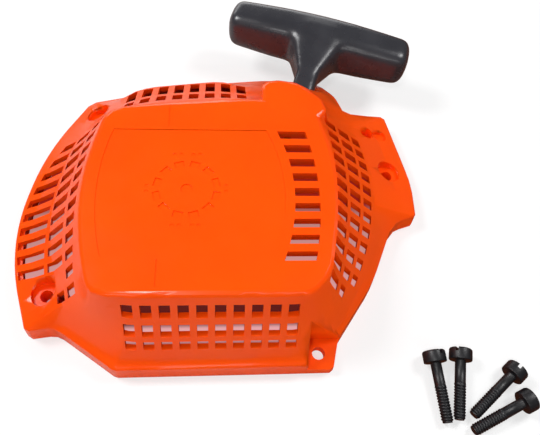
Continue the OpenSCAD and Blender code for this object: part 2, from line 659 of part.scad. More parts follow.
module stem() {
    foot = grip_out - grip_w / 2 + 1.5;
    ys = concat([0, 0.8, 2.2, 6, 12, 17],
        [for (k = [0:7]) foot - stem_fillet + stem_fillet * sin(90 / 7 * k) * 0.995], [grip_out]);
    lofted([for (y = ys) let (u = max(0, min(y, foot - 0.02) - foot + stem_fillet),
            flare = stem_fillet - sqrt(stem_fillet * stem_fillet - u * u),
            tip = y < 1 ? 0.8 - y : 0,
            w = stem_w / 2 + stem_spread.x * y + flare - tip,
            h = stem_h / 2 + stem_spread.y * y + flare * stem_rise - tip)
        [for (q = soft_section(w, h, 24, 4)) [q.x, y, -q.y]]]);
}
module handle_grip() color("#2a2a2e")
    along_rope(outlet_s) difference() {
        union() {
            grip_bar();
            stem();
        }
        translate([0, -cut, 0]) rod(rope_d + 2 * gap, grip_out * 2);
        translate([0, pocket_y, 0]) rod(knot_pocket_d, grip_out);
    }

module handle_knot() color("whitesmoke")
    along_rope(outlet_s + pocket_y + fit + grip_knot_r) {
        sphere(r = grip_knot_r);
        rod(rope_d, grip_knot_r + 1.2);
    }

// Cover screw lying on its side, the rim of its head and its tip on the plane z = 0, its tip at the origin
lean = asin((head_d - screw_d) / 2 / norm([screw_l, (head_d - screw_d) / 2]));
module cover_screw()
    translate([-screw_l * cos(lean), 0, screw_d / 2 * cos(lean) + screw_l * sin(lean)])
        rotate([0, 90 + lean, 0]) difference() {
            union() {
                translate([0, 0, -head_h]) cylinder(d = head_d, h = head_h);
                translate([0, 0, -0.5]) cylinder(d = screw_d, h = screw_l + 0.5);
            }
            translate([-head_d, -head_slot_w / 2, -head_h - cut])
                cube([2 * head_d, head_slot_w, head_slot_depth + cut]);
        }
module cover_screws() color("#26262a")
    for (p = screw_places)
        translate([p.x, p.y, 0]) rotate([0, 0, p.z]) cover_screw();

starter_housing();
rope_bushing();
spring_cassette();
cassette_cover();
cassette_screws();
recoil_spring();
rope_pulley();
pulley_washer();
pulley_screw();
rope_coil();
pulley_knot();
rope_lead();
handle_grip();
handle_knot();
cover_screws();
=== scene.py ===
"""Looks of the chainsaw recoil starter: finishes, rope, handle, screws, studio and camera.

Lengths kept in fields are in millimetres, unless their names end in _m.
"""

import json
import logging
from dataclasses import dataclass
from enum import Enum
from functools import cached_property
from math import atan2, cos, pi, radians, sin
from typing import Any, Iterable, Sequence

import bmesh
import bpy
from bpy.types import Material, Mesh, Object
from mathutils import Matrix, Vector

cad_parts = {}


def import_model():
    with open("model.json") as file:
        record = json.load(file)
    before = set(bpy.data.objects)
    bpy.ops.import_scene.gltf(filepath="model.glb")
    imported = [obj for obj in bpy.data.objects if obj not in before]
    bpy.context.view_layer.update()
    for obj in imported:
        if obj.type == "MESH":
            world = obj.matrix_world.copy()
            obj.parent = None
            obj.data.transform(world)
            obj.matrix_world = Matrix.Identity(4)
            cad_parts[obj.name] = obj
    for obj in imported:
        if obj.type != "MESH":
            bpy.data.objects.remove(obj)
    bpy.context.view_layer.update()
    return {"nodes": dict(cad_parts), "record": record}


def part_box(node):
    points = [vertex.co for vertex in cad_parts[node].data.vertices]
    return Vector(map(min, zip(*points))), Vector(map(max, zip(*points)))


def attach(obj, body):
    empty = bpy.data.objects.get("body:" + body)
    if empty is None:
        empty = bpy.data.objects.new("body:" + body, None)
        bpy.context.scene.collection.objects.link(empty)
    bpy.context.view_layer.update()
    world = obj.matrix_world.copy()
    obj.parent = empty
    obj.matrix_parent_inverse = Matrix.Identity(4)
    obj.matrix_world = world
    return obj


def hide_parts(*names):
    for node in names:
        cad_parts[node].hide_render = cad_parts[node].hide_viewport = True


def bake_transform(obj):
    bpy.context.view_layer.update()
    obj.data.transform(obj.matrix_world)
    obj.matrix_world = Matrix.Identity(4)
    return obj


MM = 0.001
# Corners of a CAD mesh closer than this are one corner.
JOIN_MM = 0.002
# Edges of a CAD mesh shorter than this are closed up.
SLIVER_MM = 0.01
# Faces of a CAD mesh that turn less than this are one face.
FLAT_DEG = 0.4
# A face is level where its normal has this much of the vertical.
LEVEL = 0.99995
# It looks straight along an axis where its normal has this much of that axis.
FACING = 0.99
NYLON_IOR = 1.53
# Shorter than this, a vector has no direction.
TINY = 1e-6
# The trefoil's curve reaches this far from its middle.
TREFOIL_REACH = 3
# Corner numbers of a block's faces, the corners in order of Z, then Y, then X.
BLOCK_FACES = ((0, 2, 3, 1), (4, 5, 7, 6), (0, 1, 5, 4), (2, 6, 7, 3), (0, 4, 6, 2), (1, 3, 7, 5))
UP = Vector((0, 0, 1))
LOG = logging.getLogger("recoil_starter")
# A node, its output's name, and the name or number of the input that takes it.
Link = tuple[Any, str, str | int]
# Positions on a colour ramp and their hex colours.
Stops = tuple[tuple[float, str], ...]


# ------------ colours and node building


def linear(hex_colour: str) -> tuple[float, float, float, float]:
    """Turns an sRGB hex colour into the linear colour that shaders use.

    Args:
        hex_colour: Six hex digits, such as "ff5a0a".

    Returns:
        Red, green and blue, each from 0 to 1, and full opacity.
    """
    parts = [int(hex_colour[k : k + 2], 16) / 255 for k in (0, 2, 4)]
    red, green, blue = [p / 12.92 if p <= 0.04045 else ((p + 0.055) / 1.055) ** 2.4 for p in parts]
    return red, green, blue, 1.0


def socket(sockets: Any, name: str | int) -> Any:
    """Finds the socket that a node uses under a name or a number.

    Args:
        sockets: Inputs or outputs of a node.
        name: Name of the socket, or its number where several have one name.

    Returns:
        The socket of that number, or the first enabled one of that name.
    """
    if isinstance(name, int):
        return sockets[name]
    return next(s for s in sockets if s.name == name and s.enabled)


@dataclass
class NodeSheet:
    """The node tree of a material or a world, emptied, and filled one node at a time."""

    owner: Any

    def __post_init__(self) -> None:
        """Empties the tree."""
        self.owner.use_nodes = True
        self.owner.node_tree.nodes.clear()

    def add(self, kind: str, links: Sequence[Link] = (), stops: Stops = (), **settings: Any) -> Any:
        """Adds a node, sets its sockets, properties and colour ramp, and links its inputs.

        Args:
            kind: Blender's name of the node type.
            links: Triples of source node, its output's name and this node's input.
            stops: Positions and hex colours of a colour ramp.
            settings: Values by input name, with spaces as underscores, or by property name.

        Returns:
            The new node.
        """
        tree = self.owner.node_tree
        node = tree.nodes.new(kind)
        names = {s.name.replace(" ", "_"): s for s in reversed(node.inputs)}
        for name, value in settings.items():
            if name in names:
                names[name].default_value = value
            else:
                setattr(node, name, value)
        if stops:
            elements = node.color_ramp.elements
            while len(elements) < len(stops):
                elements.new(0.5)
            for element, (place, colour) in zip(elements, stops):
                element.position = place
                element.color = linear(colour)
        for source, output, name in links:
            tree.links.new(socket(source.outputs, output), socket(node.inputs, name))
        return node


# ------------ finishes


@dataclass(frozen=True)
class MouldedNylon:
    """Injection-moulded polyamide, coloured through: a satin skin with a faint orange peel."""

    name: str
    colour: str
    deep_colour: str
    roughness: float = 0.2
    gloss_spread: tuple[float, float] = (-0.06, 0.08)
    sheen_level: float = 0.25
    flow_mm: float = 42.0
    patch_mm: float = 9.0
    peel_mm: float = 1.1
    peel_height: float = 0.024
    peel_strength: float = 0.5
    grain_mm: float = 0.35
    grain_share: float = 0.4
    glow: float = 0.1
    glow_mm: float = 1.6
    glow_colours: tuple[float, float, float] = (1.0, 0.25, 0.05)

    def build(self) -> Material:
        """Builds the material.

        Returns:
            A satin plastic with slightly uneven colour, gloss and skin.
        """
        sheet = NodeSheet(bpy.data.materials.new(self.name))
        place = [(sheet.add("ShaderNodeTexCoord"), "Object", "Vector")]
        # Flow marks: broad, faint changes of tone where the melt cooled at different speeds.
        flow = sheet.add("ShaderNodeTexNoise", place, Scale=1 / (self.flow_mm * MM), Detail=3.0)
        stops = ((0.25, self.deep_colour), (0.75, self.colour))
        tone = sheet.add("ShaderNodeValToRGB", [(flow, "Fac", "Fac")], stops)
        # Gloss varies with the mould's polish, which keeps a broad highlight from looking drawn.
        patches = sheet.add("ShaderNodeTexNoise", place, Scale=1 / (self.patch_mm * MM), Detail=4.0)
        low, high = (self.roughness + change for change in self.gloss_spread)
        gloss = sheet.add("ShaderNodeMapRange", [(patches, "Fac", "Value")], To_Min=low, To_Max=high)
        # The peel is about a millimetre across; the grain on it is drawn coarser than the real 0.1 mm.
        peel = sheet.add("ShaderNodeTexNoise", place, Scale=1 / (self.peel_mm * MM), Detail=1.0)
        grain = sheet.add("ShaderNodeTexNoise", place, Scale=1 / (self.grain_mm * MM))
        links = [(peel, "Fac", "A"), (grain, "Fac", "B")]
        skin_grain = sheet.add("ShaderNodeMix", links, data_type="FLOAT", Factor=self.grain_share)
        links = [(skin_grain, "Result", "Height")]
        rise = self.peel_height * MM
        bump = sheet.add("ShaderNodeBump", links, Strength=self.peel_strength, Distance=rise)
        shader = sheet.add(
            "ShaderNodeBsdfPrincipled",
            [(tone, "Color", "Base Color"), (gloss, "Result", "Roughness"), (bump, "Normal", "Normal")],
            IOR=NYLON_IOR,
            # The fine skin of the mould traps part of the sheen, so the orange stays deep.
            Specular_IOR_Level=self.sheen_level,
            # Light enters thin nylon and comes out redder, which keeps its shaded edges warm.
            Subsurface_Weight=self.glow,
            Subsurface_Radius=self.glow_colours,
            Subsurface_Scale=self.glow_mm * MM,
        )
        sheet.add("ShaderNodeOutputMaterial", [(shader, "BSDF", "Surface")])
        return sheet.owner


@dataclass(frozen=True)
class SparkGrainPlastic:
    """Glass-filled black nylon from a spark-eroded mould: a fine even grain and a soft narrow sheen."""

    name: str
    colour: str
    worn_colour: str
    roughness: float
    gloss_spread: tuple[float, float] = (-0.08, 0.1)
    rub_mm: float = 14.0
    grain_mm: float = 0.45
    grain_height: float = 0.03
    grain_strength: float = 0.6
    fine_share: float = 0.5
    fine_size: float = 0.6

    def build(self) -> Material:
        """Builds the material.

        Returns:
            A dark plastic with pimpled grain and slightly paler rubbed places.
        """
        sheet = NodeSheet(bpy.data.materials.new(self.name))
        place = [(sheet.add("ShaderNodeTexCoord"), "Object", "Vector")]
        # Rubbed places: skin oil and dust lift the black to a very dark grey.
        rub = sheet.add("ShaderNodeTexNoise", place, Scale=1 / (self.rub_mm * MM), Detail=4.0)
        stops = ((0.35, self.colour), (0.8, self.worn_colour))
        tone = sheet.add("ShaderNodeValToRGB", [(rub, "Fac", "Fac")], stops)
        low, high = (self.roughness + change for change in self.gloss_spread)
        gloss = sheet.add("ShaderNodeMapRange", [(rub, "Fac", "Value")], To_Min=low, To_Max=high)
        # Spark grain is about 0.1 mm on the real mould; it is drawn coarser so that it shows.
        pits = sheet.add("ShaderNodeTexVoronoi", place, Scale=1 / (self.grain_mm * MM))
        fine_mm = self.grain_mm * self.fine_size
        fine = sheet.add("ShaderNodeTexNoise", place, Scale=1 / (fine_mm * MM))
        links = [(pits, "Distance", "A"), (fine, "Fac", "B")]
        grain = sheet.add("ShaderNodeMix", links, data_type="FLOAT", Factor=self.fine_share)
        links = [(grain, "Result", "Height")]
        rise = self.grain_height * MM
        bump = sheet.add("ShaderNodeBump", links, Strength=self.grain_strength, Distance=rise)
        links = [(tone, "Color", "Base Color"), (gloss, "Result", "Roughness"), (bump, "Normal", "Normal")]
        shader = sheet.add("ShaderNodeBsdfPrincipled", links, IOR=NYLON_IOR)
        sheet.add("ShaderNodeOutputMaterial", [(shader, "BSDF", "Surface")])
        return sheet.owner


@dataclass(frozen=True)
class Steel:
    """Bare or coated steel: cloudy coating and fine marks from rolling, turning or tumbling."""

    name: str
    colour: str
    dull_colour: str
    roughness: float
    gloss_spread: tuple[float, float] = (-0.08, 0.12)
    metallic: float = 1.0
    cloud_mm: float = 5.0
    mark_mm: float = 0.5
    mark_height: float = 0.01
    mark_strength: float = 0.3

    def build(self) -> Material:
        """Builds the material.

        Returns:
            A steel with a blotchy coating and fine marks.
        """
        sheet = NodeSheet(bpy.data.materials.new(self.name))
        place = [(sheet.add("ShaderNodeTexCoord"), "Object", "Vector")]
        # Plating, phosphate and oil leave cloudy patches a few millimetres wide.
        cloud = sheet.add("ShaderNodeTexNoise", place, Scale=1 / (self.cloud_mm * MM), Detail=4.0)
        stops = ((0.3, self.dull_colour), (0.7, self.colour))
        tone = sheet.add("ShaderNodeValToRGB", [(cloud, "Fac", "Fac")], stops)
        marks = sheet.add("ShaderNodeTexNoise", place, Scale=1 / (self.mark_mm * MM), Detail=3.0)
        low, high = (self.roughness + change for change in self.gloss_spread)
        gloss = sheet.add("ShaderNodeMapRange", [(marks, "Fac", "Value")], To_Min=low, To_Max=high)
        links = [(marks, "Fac", "Height")]
        rise = self.mark_height * MM
        bump = sheet.add("ShaderNodeBump", links, Strength=self.mark_strength, Distance=rise)
        links = [(tone, "Color", "Base Color"), (gloss, "Result", "Roughness"), (bump, "Normal", "Normal")]
        # Phosphate is a dull crystal coat, so the screws' finish sets this to 0; bare metal keeps 1.
        shader = sheet.add("ShaderNodeBsdfPrincipled", links, Metallic=self.metallic)
        sheet.add("ShaderNodeOutputMaterial", [(shader, "BSDF", "Surface")])
        return sheet.owner


@dataclass(frozen=True)
class BraidedPolyester:
    """Braided starter rope: pale waxed yarn, a little grey between the strands."""

    name: str
    colour: str
    groove_colour: str
    yarn_mm: float = 0.5
    yarn_height: float = 0.06
    yarn_strength: float = 0.5
    dirt_mm: float = 6.0
    dirt_share: float = 0.4
    roughness: float = 0.75
    fuzz: float = 0.3

    def build(self) -> Material:
        """Builds the material.

        Returns:
            A soft, slightly fuzzy fibre with darker gaps.
        """
        sheet = NodeSheet(bpy.data.materials.new(self.name))
        place = [(sheet.add("ShaderNodeTexCoord"), "Object", "Vector")]
        # Yarns give the fine streaks, and handling leaves broader grey patches over them.
        fibres = sheet.add("ShaderNodeTexNoise", place, Scale=1 / (self.yarn_mm * MM), Detail=3.0)
        dirt = sheet.add("ShaderNodeTexNoise", place, Scale=1 / (self.dirt_mm * MM), Detail=3.0)
        links = [(fibres, "Fac", "A"), (dirt, "Fac", "B")]
        both = sheet.add("ShaderNodeMix", links, data_type="FLOAT", Factor=self.dirt_share)
        stops = ((0.3, self.groove_colour), (0.6, self.colour))
        tone = sheet.add("ShaderNodeValToRGB", [(both, "Result", "Fac")], stops)
        links = [(fibres, "Fac", "Height")]
        rise = self.yarn_height * MM
        bump = sheet.add("ShaderNodeBump", links, Strength=self.yarn_strength, Distance=rise)
        links = [(tone, "Color", "Base Color"), (bump, "Normal", "Normal")]
        # Loose fibre ends catch light at the rope's edges, as a sheen.
        soft = {"Roughness": self.roughness, "Sheen_Weight": self.fuzz}
        shader = sheet.add("ShaderNodeBsdfPrincipled", links, **soft)
        sheet.add("ShaderNodeOutputMaterial", [(shader, "BSDF", "Surface")])
        return sheet.owner


class Finish(Enum):
    """Every finish on the starter, by the place it is used."""

    COVER = MouldedNylon("moulded_nylon_orange", "ff5302", "fd4c02")
    HANDLE = SparkGrainPlastic("grained_nylon_handle", "2e2e33", "37373c", roughness=0.27)
    INNER = SparkGrainPlastic("glass_filled_nylon_black", "161617", "202022", roughness=0.5)
    SCREW = Steel("phosphated_screw_steel", "17171b", "0e0e11", roughness=0.4, metallic=0.0)
    ZINC = Steel("bright_zinc_steel", "b9bab8", "9d9fa0", roughness=0.28)
    SPRING = Steel("blued_spring_steel", "6c7480", "4d535c", roughness=0.3)
    ROPE = BraidedPolyester("braided_polyester", "dcdad2", "8f8d86")

    @cached_property
    def material(self) -> Material:
        """Builds the finish's material, on first use."""
        return self.value.build()

    def dress(self, piece: Object) -> Object:
        """Gives a piece or a CAD node this finish.

        Args:
            piece: Object to dress.

        Returns:
            The same object.
        """
        if not piece.material_slots:
            piece.data.materials.append(self.material)
        for slot in piece.material_slots:
            slot.material = self.material
        return piece


# ------------ mesh helpers


def new_piece(name: str, mesh: Mesh) -> Object:
    """Links a mesh into the scene as an object.

    Args:
        name: Name of the object.
        mesh: Its mesh.

    Returns:
        The new object.
    """
    piece = bpy.data.objects.new(name, mesh)
    bpy.context.scene.collection.objects.link(piece)
    return piece


def freeze(piece: Object) -> Mesh:
    """Makes a piece's modifiers part of its mesh.

    Args:
        piece: Object with modifiers, changed in place.

    Returns:
        The object's new mesh.
    """
    bpy.context.view_layer.update()
    graph = bpy.context.evaluated_depsgraph_get()
    mesh = bpy.data.meshes.new_from_object(piece.evaluated_get(graph))
    piece.modifiers.clear()
    piece.data = mesh
    return mesh


def mesh_of(name: str, work: Any) -> Mesh:
    """Turns a finished bmesh into a mesh and frees it.

    Args:
        name: Name of the mesh.
        work: The bmesh.

    Returns:
        The mesh.
    """
    mesh = bpy.data.meshes.new(name)
    work.to_mesh(mesh)
    work.free()
    return mesh


def mesh_from(name: str, points: Iterable[Vector], faces: Iterable[Sequence[int]]) -> Mesh:
    """Makes a mesh from points and faces, with its normals turned outwards.

    Args:
        name: Name of the mesh.
        points: Corners in metres.
        faces: Corner numbers of each face.

    Returns:
        The mesh, shaded smooth.
    """
    mesh = bpy.data.meshes.new(name)
    mesh.from_pydata([tuple(p) for p in points], [], [tuple(f) for f in faces])
    work = bmesh.new()
    work.from_mesh(mesh)
    bmesh.ops.recalc_face_normals(work, faces=work.faces)
    work.to_mesh(mesh)
    work.free()
    mesh.shade_smooth()
    return mesh


def skin(rings: Sequence[Sequence[Vector]]) -> tuple[list[Vector], list[list[int]]]:
    """Joins rings of equal length into one tube with closed ends.

    Args:
        rings: Rings of points, in order.

    Returns:
        Points and faces.
    """
    count = len(rings[0])
    points = [p for ring in rings for p in ring]
    faces = [
        [r * count + k, r * count + (k + 1) % count, (r + 1) * count + (k + 1) % count, (r + 1) * count + k]
        for r in range(len(rings) - 1)
        for k in range(count)
    ]
    faces.append(list(range(count))[::-1])
    faces.append([(len(rings) - 1) * count + k for k in range(count)])
    return points, faces


def crisp_copy(name: str, node: Object, smooth_deg: float) -> Mesh:
    """Copies a CAD node's mesh, joins its corners and shades it smooth up to an angle.

    Args:
        name: Name of the new mesh.
        node: CAD node to copy.
        smooth_deg: Edges flatter than this, in degrees, are shaded as one surface.

    Returns:
        The copy.
    """
    mesh = node.data.copy()
    mesh.name = name
    work = bmesh.new()
    work.from_mesh(mesh)
    bmesh.ops.remove_doubles(work, verts=work.verts, dist=JOIN_MM * MM)
    bmesh.ops.dissolve_degenerate(work, edges=work.edges, dist=SLIVER_MM * MM)
    bmesh.ops.dissolve_limit(work, angle_limit=radians(FLAT_DEG), verts=work.verts, edges=work.edges)
    work.to_mesh(mesh)
    work.free()
    mesh.materials.clear()
    mesh.shade_smooth()
    mesh.set_sharp_from_angle(angle=radians(smooth_deg))
    for face in mesh.polygons:
        # Level faces keep their plane, however narrow they are beside a rounded edge.
        if abs(face.normal.z) > LEVEL:
            face.use_smooth = False
    return mesh


def loose_parts(node: Object) -> list[list[Vector]]:
    """Splits a CAD node's corners into its separate solids.

    Args:
        node: CAD node with one or more solids.

    Returns:
        The world positions of each solid's corners, the solids in order along X.
    """
    work = bmesh.new()
    work.from_mesh(node.data)
    bmesh.ops.remove_doubles(work, verts=work.verts, dist=JOIN_MM * MM)
    groups = []
    left = set(work.verts)
    while left:
        seen = {left.pop()}
        edge = list(seen)
        while edge:
            near = {e.other_vert(v) for v in edge for e in v.link_edges} - seen
            seen |= near
            edge = list(near)
        left -= seen
        groups.append([node.matrix_world @ v.co for v in work.verts if v in seen])
    work.free()
    return sorted(groups, key=lambda g: sum(p.x for p in g) / len(g))


def pull_line(record: dict[str, Any]) -> tuple[Vector, Vector]:
    """Finds the line that the rope is pulled along.

    Args:
        record: The part's record.

    Returns:
        The middle of the handle's knot, in metres, and the direction of the pull.
    """
    joint = next(j for j in record["behaviour"]["joints"] if j["name"] == "handle_pull")
    low, high = (Vector(c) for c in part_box("handle_knot"))
    return (low + high) / 2, Vector(joint["axis"]).normalized()


# ------------ the starter's pieces


@dataclass
class StarterCover:
    """The moulded cover: the CAD form with its mould radii and smooth walls."""

    nodes: dict[str, Object]
    smooth_deg: float = 24.0
    area_weight: int = 100
    lip_drop: float = 2.0
    lip_w: float = 1.3
    lip_root: float = 0.2
    lip_past: float = 0.5
    wall_flat: float = 0.1
    wall_below_top: float = 1.0
    wall_depth: float = 6.0
    wall_length: float = 10.0

    def slot_walls(self, work: Any, place: Matrix) -> list[tuple[list[float], list[float]]]:
        """Finds the far wall of each long slot of the flat face.

        Args:
            work: The cover as a bmesh.
            place: World matrix of the cover.

        Returns:
            The low and high corner of each wall, in metres.
        """
        top = max((place @ v.co).z for v in work.verts)
        walls = []
        for face in work.faces:
            spots = [place @ v.co for v in face.verts]
            low, high = ([pick(p[a] for p in spots) for a in range(3)] for pick in (min, max))
            faces_front = high[1] - low[1] < self.wall_flat * MM and face.normal.y < -FACING
            near_top = high[2] > top - self.wall_below_top * MM and low[2] > top - self.wall_depth * MM
            if faces_front and near_top and high[0] - low[0] > self.wall_length * MM:
                walls.append((low, high))
        return walls

    def add_lips(self, mesh: Mesh, place: Matrix) -> None:
        """Hangs a stiffening lip under the far edge of each long slot of the flat face.

        Args:
            mesh: Mesh of the cover, changed in place.
            place: World matrix of the cover.
        """
        work = bmesh.new()
        work.from_mesh(mesh)
        walls = self.slot_walls(work, place)
        for low, high in walls:
            corners = [
                Vector((x, y, z))
                for z in (low[2] - self.lip_drop * MM, low[2] + self.lip_root * MM)
                for y in (low[1], low[1] + self.lip_w * MM)
                for x in (low[0] - self.lip_past * MM, high[0] + self.lip_past * MM)
            ]
            verts = [work.verts.new(place.inverted() @ c) for c in corners]
            for face in BLOCK_FACES:
                work.faces.new([verts[k] for k in face])
        LOG.info("lips under %d slots", len(walls))
        work.to_mesh(mesh)
        work.free()

    def build(self) -> list[Object]:
        """Builds the dressed cover.

        Returns:
            The cover's one piece.
        """
        node = self.nodes["starter_housing"]
        mesh = crisp_copy("cover_shell", node, self.smooth_deg)
        self.add_lips(mesh, node.matrix_world)
        piece = new_piece("cover_shell", mesh)
        # Big flat faces keep their plane where they meet small rounded ones.
        weigh = piece.modifiers.new("flat_faces_stay_flat", "WEIGHTED_NORMAL")
        weigh.mode = "FACE_AREA"
        weigh.weight = self.area_weight
        weigh.keep_sharp = True
        Finish.COVER.dress(piece)
        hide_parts("starter_housing")
        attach(piece, "cover")
        return [piece]


@dataclass
class TeeHandle:
    """The T handle: one moulding whose bar flows into its stem."""

    nodes: dict[str, Object]
    record: dict[str, Any]
    smooth_deg: float = 30.0
    voxel_mm: float = 0.8
    relax: float = 0.5
    relax_steps: int = 9
    flow_steps: int = 90
    flow_reach_mm: float = 21.0
    flow_full: float = 2.0
    flow_fall: float = 1.6
    junction_ahead_mm: float = -16.5
    # The web's corners, from the knot: half width, place along the pull and half height.
    web: tuple[tuple[float, float, float], ...] = (
        (7.0, -7.3, 12.3),
        (12.0, -13.3, 11.9),
        (13.0, -18.6, 7.0),
        (5.3, -35.0, 6.3),
    )

    def build(self) -> list[Object]:
        """Builds the dressed handle.

        Returns:
            The handle's one piece.
        """
        grip = self.nodes["handle_grip"]
        whole = bmesh.new()
        whole.from_mesh(crisp_copy("tee_handle", grip, self.smooth_deg))
        bmesh.ops.transform(whole, matrix=grip.matrix_world, verts=whole.verts)
        whole.from_mesh(self.web_mesh())
        piece = new_piece("tee_handle", mesh_of("tee_handle", whole))
        remesh = piece.modifiers.new("one_skin", "REMESH")
        remesh.mode = "VOXEL"
        remesh.voxel_size = self.voxel_mm * MM
        relax = piece.modifiers.new("mould_radii", "SMOOTH")
        relax.factor = self.relax
        relax.iterations = self.relax_steps
        freeze(piece)
        self.flow(piece)
        piece.data.shade_smooth()
        Finish.HANDLE.dress(piece)
        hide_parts("handle_grip")
        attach(piece, "handle")
        return [piece]

    def flow(self, piece: Object) -> None:
        """Lets the stem flow into the bar: corners near the junction are relaxed much longer.

        Args:
            piece: The handle, changed in place.
        """
        knot, pull = pull_line(self.record)
        centre = knot + pull * self.junction_ahead_mm * MM
        group = piece.vertex_groups.new(name="junction")
        for vertex in piece.data.vertices:
            reach = (piece.matrix_world @ vertex.co - centre).length / (self.flow_reach_mm * MM)
            weight = max(0.0, min(1.0, self.flow_full - self.flow_fall * reach))
            group.add([vertex.index], weight, "REPLACE")
        flow = piece.modifiers.new("flow", "SMOOTH")
        flow.factor = self.relax
        flow.iterations = self.flow_steps
        flow.vertex_group = group.name
        freeze(piece)

    def web_mesh(self) -> Mesh:
        """Builds the web that carries the bar's top and bottom out onto the stem.

        Returns:
            A convex solid whose corners lie just inside the bar and the stem.
        """
        knot, pull = pull_line(self.record)
        across = Vector((pull.y, -pull.x, 0))
        work = bmesh.new()
        for side, ahead, height in self.web:
            for turn, flip in ((1, 1), (1, -1), (-1, 1), (-1, -1)):
                reach = across * side * turn + pull * ahead + Vector((0, 0, height * flip))
                work.verts.new(knot + reach * MM)
        bmesh.ops.convex_hull(work, input=work.verts)
        return mesh_of("handle_web", work)


@dataclass
class CoverScrews:
    """The four slotted cylinder-head screws, each with its plain neck, rolled thread and blunt tip."""

    nodes: dict[str, Object]
    head_r: float = 5.0
    head_h: float = 5.2
    rim_r: float = 0.9
    rim_steps: int = 4
    under_r: float = 0.45
    under_steps: int = 3
    thread_r: float = 2.5
    thread_depth: float = 0.42
    thread_slope: float = 1.6
    pitch: float = 1.2
    rings_a_turn: int = 6
    thread_share: float = 0.6
    neck_depth: float = 0.35
    neck_start: float = 0.15
    neck_flare: float = 0.35
    tip_h: float = 1.2
    tip_taper: float = 0.5
    tip_thread: float = 0.35
    slot_w: float = 1.4
    slot_depth: float = 2.0
    sides: int = 36
    crisp_deg: float = 50.0
    end_band: float = 1.6
    axis_passes: int = 12
    rolls_deg: tuple[float, ...] = (-20.0, 38.0, 8.0, 80.0)

    def axis_of(self, points: Sequence[Vector]) -> tuple[Vector, Vector]:
        """Finds a screw's tip and direction from its CAD corners.

        Args:
            points: Corners of one CAD screw.

        Returns:
            Middle of its tip's face and the unit vector from tip to head.
        """
        far = max(points, key=lambda p: (p - points[0]).length)
        other = max(points, key=lambda p: (p - far).length)
        rough = (far - other).normalized()
        band = self.end_band * MM
        for _ in range(self.axis_passes):
            along = [p.dot(rough) for p in points]
            limits = min(along), max(along)
            ends = [[p for p, a in zip(points, along) if abs(a - limit) < band] for limit in limits]
            mids = [sum(group, Vector()) / len(group) for group in ends]
            rough = (mids[1] - mids[0]).normalized()
        # The head is the wider end.
        spans = [max((p - mid).length for p in group) for group, mid in zip(ends, mids)]
        if spans[0] > spans[1]:
            mids.reverse()
            rough = -rough
        along = [p.dot(rough) for p in points]
        return mids[0] + rough * (min(along) - mids[0].dot(rough)), rough

    def ring(self, height: float, radii: Sequence[float]) -> list[Vector]:
        """Makes one ring of points, in metres, from its height above the tip and its radii."""
        angles = [2 * pi * k / self.sides for k in range(self.sides)]
        return [Vector((r * cos(a), r * sin(a), height)) * MM for r, a in zip(radii, angles)]

    def thread_ring(self, height: float, end: float) -> list[Vector]:
        """Makes a ring of the thread, deeper where the helix's groove passes.

        Args:
            height: Height above the tip in millimetres.
            end: Height at which the thread runs out.

        Returns:
            Its points in metres.
        """
        radii = []
        for k in range(self.sides):
            place = (height / self.pitch - k / self.sides) % 1.0
            groove = min(1.0, self.thread_slope * abs(2 * place - 1))
            fade = max(0.0, min(1.0, height / self.tip_h + self.tip_thread, (end - height) / self.pitch))
            radius = self.thread_r - self.thread_depth * (1 - groove) * fade
            if height < self.tip_h:
                radius -= self.tip_taper * (self.tip_h - height) / self.tip_h
            radii.append(radius)
        return self.ring(height, radii)

    def screw_mesh(self, length: float) -> Mesh:
        """Builds one screw that stands on its tip.

        Args:
            length: Length from tip to the head's end, in millimetres.

        Returns:
            The screw's mesh without its slot.
        """
        shank = length - self.head_h
        end = shank * self.thread_share
        steps = round(end / (self.pitch / self.rings_a_turn))
        rings = [self.thread_ring(end * k / steps, end) for k in range(steps + 1)]
        neck = self.thread_r - self.thread_depth * self.neck_depth
        flare = self.neck_flare
        profile = [(neck, end + self.neck_start), (neck, shank - flare), (neck + flare, shank)]
        profile.append((self.head_r - self.under_r, shank))
        for k in range(1, self.under_steps + 1):
            angle = pi / 2 * k / self.under_steps
            inset, rise = self.under_r * (1 - sin(angle)), self.under_r * (1 - cos(angle))
            profile.append((self.head_r - inset, shank + rise))
        for k in range(self.rim_steps + 1):
            angle = pi / 2 * k / self.rim_steps
            inset, drop = self.rim_r * (1 - cos(angle)), self.rim_r * (1 - sin(angle))
            profile.append((self.head_r - inset, length - drop))
        rings += [self.ring(height, [radius] * self.sides) for radius, height in profile]
        return mesh_from("cover_screw", *skin(rings))

    def slotted(self, length: float) -> Mesh:
        """Builds one screw and cuts its slot.

        Args:
            length: Length from tip to the head's end, in millimetres.

        Returns:
            The finished screw, standing on its tip.
        """
        body = new_piece("screw_body", self.screw_mesh(length))
        tool = bmesh.new()
        bmesh.ops.create_cube(tool, size=1.0)
        size = Vector((3 * self.head_r, self.slot_w, 2 * self.slot_depth)) * MM
        bmesh.ops.scale(tool, vec=size, verts=tool.verts)
        bmesh.ops.translate(tool, vec=Vector((0, 0, length * MM)), verts=tool.verts)
        cutter = new_piece("screw_slot", mesh_of("screw_slot", tool))
        cut = body.modifiers.new("slot", "BOOLEAN")
        cut.operation = "DIFFERENCE"
        cut.solver = "EXACT"
        cut.object = cutter
        done = freeze(body)
        bpy.data.objects.remove(body)
        bpy.data.objects.remove(cutter)
        return done

